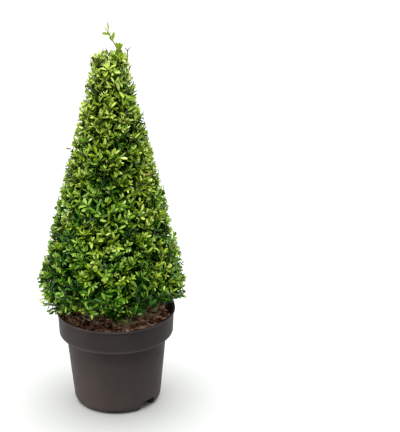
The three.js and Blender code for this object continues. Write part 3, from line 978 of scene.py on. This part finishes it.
def spray_growth(tip, outward, shade):
    """What the leaves of a spray at a tip share."""
    light = (outward * LIGHT_OUT + UP * LIGHT_UP) * rng.uniform(0, LIGHT_MOST)
    height_share = crown_share(tip.z)
    warm = int(rng.random() < WARM_AT_HEM + WARM_RISE * height_share)
    tone = rng.gauss(TONE_MEAN, TONE_SPREAD) - TONE_FALL * sqrt(max(height_share, 0)) + shade
    return Growth(tier_of(tip), light, rng.choice(SPRAY_AGES), tone, warm)


def join_to_bough(crown, root, tier, boughs):
    """A thin twig to a spray's root from the nearest bough."""
    near = min(boughs, key=lambda path: min((path[-3] - root).length, (path[-1] - root).length))
    outer = near[BOUGH_POINTS // 2:]
    start = min(outer, key=lambda point: (point - root).length + max(0, point.z - root.z))
    middle = start.lerp(root, 0.5) - UP * JOINT_SAG
    twig = bend(start, middle, root, JOINT_POINTS)
    crown.twigs[tier].add(twig, [JOINT_RADIUS] * JOINT_POINTS, 4)


def grow_spray(crown, tip, facing, lift, shade, boughs):
    """One branchlet from its bough to a tip, with side shoots that end under the surface."""
    outward = Vector((tip.x - crown_axis(tip.z), tip.y, 0))
    from_axis = outward.length
    outward.normalize()
    sway = Vector([rng.gauss(0, spread) for spread in STEM_SWAY])
    stem = (facing + UP * lift + sway).normalized()
    length = min(STEM_LENGTH, from_axis * STEM_SHARE + STEM_SHORTEST)
    root = tip - stem * length
    growth = spray_growth(tip, outward, shade)
    join_to_bough(crown, root, growth.tier, boughs)
    crown.shoot(root, tip, STEM_RADIUS, growth)
    side_growth = growth._replace(tone=growth.tone + SIDE_SHADE)
    turn = rng.uniform(0, 2 * pi)
    for k in range(SIDE_SHOOTS):
        behind = SIDE_FIRST + SIDE_STEP * (k + jitter(SIDE_JITTER))
        if behind > length * SIDE_LAST:
            break
        base = tip - stem * behind
        turn += radians(rng.uniform(*SIDE_TURNS))
        lean = radians(rng.uniform(*SIDE_LEANS))
        way = stem * cos(lean) + around(stem, turn) * sin(lean)
        rise = way.dot(facing)
        if rise < SIDE_LEAST_RISE:
            continue
        room = behind * stem.dot(facing) - rng.uniform(0, SIDE_SLACK) * MM
        reach = min(room / rise, SIDE_LONGEST)
        if reach > SIDE_SHORTEST:
            crown.shoot(base, base + way * reach, SIDE_RADIUS, side_growth)


def grow_outer_sprays(crown, boughs):
    """Sprays over the whole surface, whose tips follow its lumps and its young growth."""
    for index in range(SPRAYS):
        azimuth = index * GOLDEN_ANGLE + jitter(SPRAY_SCATTER)
        tip, _, facing = crown_place(((index + 0.5) / SPRAYS) ** CROWDING_UP, azimuth, 0)
        lumps = noise.noise(tip * RELIEF_PER_METRE) - RELIEF_LEVEL
        height_share = crown_share(tip.z)
        swell = RELIEF * (RELIEF_FADE - height_share) * lumps + rng.gauss(0, TIP_SCATTER)
        tip += facing * min(swell, TIP_SLACK)
        shade = 0
        if height_share > YOUNG_TOP:
            tip += UP * rng.uniform(*TOP_SPREAD) * TOP_GROWTH
            shade = TOP_SHADE
        rising = LIFT_BY_HEIGHT[0] + LIFT_BY_HEIGHT[1] * height_share
        lift = GROWTH_LIFT * rng.uniform(*LIFT_SPREAD) * rising
        grow_spray(crown, tip, facing, lift, shade, boughs)


def grow_inner_sprays(crown, boughs):
    """Sprays behind those, darker the deeper they stand."""
    for index in range(INNER_SPRAYS):
        depth = rng.uniform(*INNER_DEPTHS)
        share = (index + 0.5) / INNER_SPRAYS
        azimuth = (index + 0.5) * GOLDEN_ANGLE
        tip, _, facing = crown_place(INNER_REACH * share ** CROWDING_UP, azimuth, depth)
        grow_spray(crown, tip, facing, GROWTH_LIFT, depth / SHADE_DEPTH, boughs)


def grow_low_sprays(crown, boughs):
    """Sprays that hang from the hem."""
    for degrees, radius, height, shade in LOW_SPRAYS:
        outward = level_way(radians(degrees))
        reached = Vector((crown_axis(height * MM), 0, height * MM)) + outward * radius * MM
        tip = reached - (outward - UP * LOW_DROOP).normalized() * LOW_INSET
        grow_spray(crown, tip, outward, -LOW_DROOP, shade, boughs)


def grow_top_shoots(crown, boughs):
    """Young sprays that stand up round the leader."""
    for x, y, z in TOP_SHOOTS:
        facing = (Vector((x, y, 0)).normalized() * TOP_LEAN + UP).normalized()
        grow_spray(crown, Vector((x, y, z)) * MM, facing, 0, TOP_SHADE, boughs)


def grow_bare_twigs(crown):
    """A few bare twigs, each with a fork, at the clipped top."""
    tubes = crown.twigs[UPPER_TIER]
    radii = [TWIG_RADIUS * (1 - TWIG_TAPER * k) for k in range(TWIG_POINTS)]
    for twig in BARE_TWIGS:
        root, fork, *ends = [Vector(point) * MM for point in twig]
        middle = root.lerp(fork, 0.5) + RIGHT * jitter(TWIG_BEND) * MM
        tubes.add(bend(root, middle, fork, TWIG_POINTS), radii, 5)
        for end in ends:
            tubes.add([fork, end], [TWIG_RADIUS * taper for taper in FORK_TAPERS], 4)


# Leaves

def leaf_template():
    """A leaf's points as (along, across), and its faces."""
    points = [(0, 0)]
    for along, half in zip(LEAF_STATIONS, LEAF_HALF_WIDTHS):
        points += [(along, -half), (along, 0), (along, half)]
    points.append((1, 0))
    faces = [(0, 1, 2), (0, 2, 3)]
    for k in range(len(LEAF_STATIONS) - 1):
        a = 1 + 3 * k
        faces += [(a, a + 3, a + 4, a + 1), (a + 1, a + 4, a + 5, a + 2)]
    last = len(points) - 4
    tip = len(points) - 1
    faces += [(last, tip, last + 1), (last + 1, tip, last + 2)]
    return np.array(points), faces


LEAF_POINTS, LEAF_FACES = leaf_template()


def leaf_vertices(rows):
    """The vertices of leaves from rows of root, direction, face, length, width, fold and curl."""
    rows = np.asarray(rows, float)
    root, along, face = rows[:, 0:3], rows[:, 3:6], rows[:, 6:9]
    length, width, fold, curl = rows[:, 9:13].T
    across = np.cross(face, along)
    x, y = LEAF_POINTS.T
    lateral = width[:, None] * y
    rise = fold[:, None] * np.abs(lateral) - curl[:, None] * x ** 2
    shape = (
        x[None, :, None] * along[:, None, :]
        + lateral[:, :, None] * across[:, None, :]
        + rise[:, :, None] * face[:, None, :]
    )
    return root[:, None, :] + length[:, None, None] * shape


def add_leaves(name, places, material):
    """One joined mesh of leaves from an array of leaf, point and coordinate."""
    count = len(LEAF_POINTS)
    faces = []
    for i in range(len(places)):
        faces += [tuple(i * count + k for k in face) for face in LEAF_FACES]
    return add_mesh(name, places.reshape(-1, 3).tolist(), faces, material, 30)


def leaves_with_room(places):
    """Which leaves stay in the crown's reach, above its hem, and clear of the pot and compost."""
    x, y, height = np.moveaxis(places, 2, 0)
    radius = np.hypot(x, y)
    from_axis = np.hypot(x - crown_axis(height), y)
    below_top = np.maximum(crown_radius(height), SHOULDER[0])
    outline = np.minimum(crown_radius(height - TOP_GROWTH), below_top) + OUTLINE_SLACK
    pot = (radius < LIP_RADIUS + LEAF_ROOM) & (height < POT_HEIGHT + LEAF_ROOM)
    mouth = collar_radius(SOIL_HEIGHT) - WALL - LEAF_ROOM
    over_soil = (radius < mouth) & (height > SOIL_HEIGHT + SOIL_ROOM)
    low = height < np.interp(np.degrees(np.arctan2(y, x)), *np.array(HEM_FLOOR).T) * MM
    outside = (from_axis > outline) | (height > TOP[1] + TOP_GROWTH)
    return ~((pot & ~over_soil) | low | outside).any(axis=1)


def hem_shade(places):
    """How many tones darker each leaf is dealt as painted shade for its place in the hem."""
    x, y, height = places.mean(axis=1).T
    low, high = HEM_SHADE_HEIGHTS
    depth = np.clip((high - height) / (high - low), 0, 1)
    return depth * np.interp(np.degrees(np.arctan2(y, x)), *np.array(HEM_SHADE_TONES).T)


def build_tier(tier, tubes, twig_bark, leaves):
    """A tier's twigs, and its leaves in a piece for each tone: their warmth, tones and places."""
    node = "foliage_" + TIERS[tier]
    twigs = add_mesh("twigs_" + TIERS[tier], tubes.vertices, tubes.faces, twig_bark)
    dress(twigs, "leaves", node)
    warmth, tones, places = leaves
    dealt = np.clip(np.round(tones), 0, len(TONES) - 1)
    for warm, family in enumerate(FAMILIES):
        for tone, look in enumerate(TONES):
            chosen = (warmth == warm) & (dealt == tone)
            if chosen.any():
                name = f"leaves_{family}_{look}_{TIERS[tier]}"
                piece = add_leaves(name, places[chosen], leaf_look(warm, look))
                dress(piece, "leaves", node)


def build_crown():
    """The boughs, then each tier's twigs and leaves."""
    crown = Crown()
    boughs = bough_paths()
    build_boughs(boughs)
    grow_outer_sprays(crown, boughs)
    grow_inner_sprays(crown, boughs)
    grow_low_sprays(crown, boughs)
    grow_top_shoots(crown, boughs)
    grow_bare_twigs(crown)
    twig_bark = bark_material("twig_bark", *TWIG_TONES)
    tiers, warmth, tones = crown.traits()
    places = crown.places()
    # Painted shade on the lowest leaves of the hem, right of the front
    tones = tones + hem_shade(places)
    kept = leaves_with_room(places)
    for tier, tubes in enumerate(crown.twigs):
        here = kept & (tiers == tier)
        build_tier(tier, tubes, twig_bark, (warmth[here], tones[here], places[here]))


# Leader, dead leaves and fallen leaves

def leader_curve(count):
    """Points on the leader's curve, which passes through the same points as the solid's."""
    path = [Vector(point) * MM for point in LEADER_PATH]
    path = [path[0] * 2 - path[1]] + path + [path[-1] * 2 - path[-2]]
    stretches = len(LEADER_PATH) - 1
    points = []
    for i in range(count):
        along = stretches * i / (count - 1)
        k = min(int(along), stretches - 1)
        t = along - k
        a, b, c, d = path[k:k + 4]
        cubic = (3 * b - a - 3 * c + d) * t ** 3
        points.append(0.5 * (2 * b + (c - a) * t + (2 * a - 5 * b + 4 * c - d) * t ** 2 + cubic))
    return points


def build_leader():
    """The shoot that the shears left at the top, with its own large leaves."""
    curve = leader_curve(LEADER_STEPS + 1)
    shares = [LEADER_TAPER * k / LEADER_STEPS for k in range(LEADER_STEPS + 1)]
    stem = Tubes()
    stem.add(curve, [LEADER_RADIUS * (1 - share) for share in shares], 8)
    bark = bark_material("leader_bark", *LEADER_TONES)
    dress(add_mesh("leader_stem", stem.vertices, stem.faces, bark), "leaves", "leader_shoot")
    crown = Crown()
    for at, azimuth, rise, length in LEADER_LEAVES:
        older = at < LEADER_YOUNG
        level = level_way(radians(azimuth))
        tilt = radians(rise)
        along = level * cos(tilt) + UP * sin(tilt)
        light = Vector(LEADER_LIGHT if older else YOUNG_LIGHT)
        face = along.cross(UP.cross(level)) + light
        root = curve[round(at * LEADER_STEPS)]
        crown.lay(root, along, face, length * MM, older, UPPER_TIER, 1, LEADER_WIDTHS)
    _, _, tones = crown.traits()
    for older, name in enumerate(("young", "fresh")):
        leaves = crown.places()[tones == older]
        piece = add_leaves(f"leader_leaves_{name}", leaves, leaf_look(1, name))
        dress(piece, "leaves", "leader_shoot")


def build_dead_leaves():
    """A few brown leaves that stand a little out of the crown."""
    crown = Crown()
    for degrees, height in DEAD_LEAVES:
        level = level_way(radians(degrees))
        root = Vector((crown_axis(height * MM), 0, height * MM))
        root += level * (crown_radius(height * MM) - DEAD_SUNK)
        along = (level + UP * rng.uniform(*DEAD_RISES)).normalized()
        crown.lay(root, along, Vector(DEAD_LIGHT), rng.uniform(*DEAD_LENGTHS) * MM)
    material = leaf_material("leaf_dead", DEAD_COLOR, 0.6, 0.2)
    dress(add_leaves("dead_leaves", crown.places(), material), "leaves")


def build_fallen_leaves():
    """Clipped and shed leaves that lie on the compost."""
    crown = Crown()
    growth = Growth(tier=0, light=UP, age=0, tone=0, warm=1)
    for _ in range(FALLEN_LEAVES):
        radius = rng.uniform(*FALLEN_RING) * LIP_RADIUS
        angle = rng.uniform(0, 2 * pi)
        x, y = radius * cos(angle), radius * sin(angle)
        root = Vector((x, y, soil_top(x, y) + FALLEN_LIFT))
        flat = Vector((rng.gauss(0, FALLEN_TILT), rng.gauss(0, FALLEN_TILT), 1)).normalized()
        length = rng.uniform(*FALLEN_LENGTHS) * MM
        crown.leaf(root, flat, rng.uniform(*FALLEN_TURNS), FALLEN_ANGLE, length, 0, growth)
    places = crown.places()
    radius = np.hypot(places[:, :, 0], places[:, :, 1])
    kept = (radius < collar_radius(SOIL_HEIGHT) - WALL - MM).all(axis=1)
    material = leaf_material("leaf_shed", FALLEN_COLOR, 0.5, 0.3)
    dress(add_leaves("fallen_leaves", places[kept], material), "leaves")


# Studio

def sun(name, place, strength, angle, color=(1, 1, 1)):
    """A sun that shines from a place towards the plant's foot, with a soft edge of an angle."""
    light = bpy.data.lights.new(name, "SUN")
    light.energy = strength
    light.angle = radians(angle)
    light.color = color
    lamp = bpy.data.objects.new(name, light)
    lamp.rotation_euler = Vector(place).to_track_quat("Z", "Y").to_euler()
    bpy.context.collection.objects.link(lamp)
    return lamp


def link_light(lamp, name, pieces, state):
    """Lets a sun shine on some pieces alone, or on all but them."""
    group = bpy.data.collections.new(name)
    for piece in pieces:
        group.objects.link(bpy.data.objects[piece])
    for entry in group.collection_objects:
        entry.light_linking.link_state = state
    lamp.light_linking.receiver_collection = group


def build_studio():
    """A white floor under a white sky, and four suns."""
    scene = bpy.context.scene
    world = bpy.data.worlds.new("studio")
    world.use_nodes = True
    background = world.node_tree.nodes["Background"]
    background.inputs["Color"].default_value = (1, 1, 1, 1)
    background.inputs["Strength"].default_value = SKY_STRENGTH
    scene.world = world
    scene.view_settings.view_transform = "Standard"
    corners = [(x * FLOOR_SIZE, y * FLOOR_SIZE, 0) for x, y in ((-1, -1), (1, -1), (1, 1), (-1, 1))]
    white = new_material("white_floor", FLOOR_COLOR, 0.9, 0.1)
    floor = add_mesh("floor", corners, [(0, 1, 2, 3)], white)
    sun("overhead", *OVERHEAD_SUN)
    link_light(sun("key", *KEY_SUN), "unlit_by_key", ["floor"], "EXCLUDE")
    link_light(sun("side", *SIDE_SUN, SIDE_COLOR), "lit_by_side", ["pot_shell"], "INCLUDE")
    link_light(sun("fill", *FILL_SUN), "lit_by_fill", ["soil_bed", *CHIP_KINDS], "INCLUDE")


def build_camera():
    """The photograph's viewpoint, with the plant left of the middle of the frame."""
    camera = bpy.data.cameras.new("camera")
    camera.lens = CAMERA_LENS
    viewer = bpy.data.objects.new("camera", camera)
    viewer.location = CAMERA_PLACE
    viewer.rotation_euler = (radians(90 - CAMERA_DIP), 0, radians(CAMERA_TURN))
    bpy.context.collection.objects.link(viewer)
    bpy.context.scene.camera = viewer


build_pot()
build_soil()
build_trunk()
build_crown()
build_leader()
build_dead_leaves()
build_fallen_leaves()
build_camera()
build_studio()
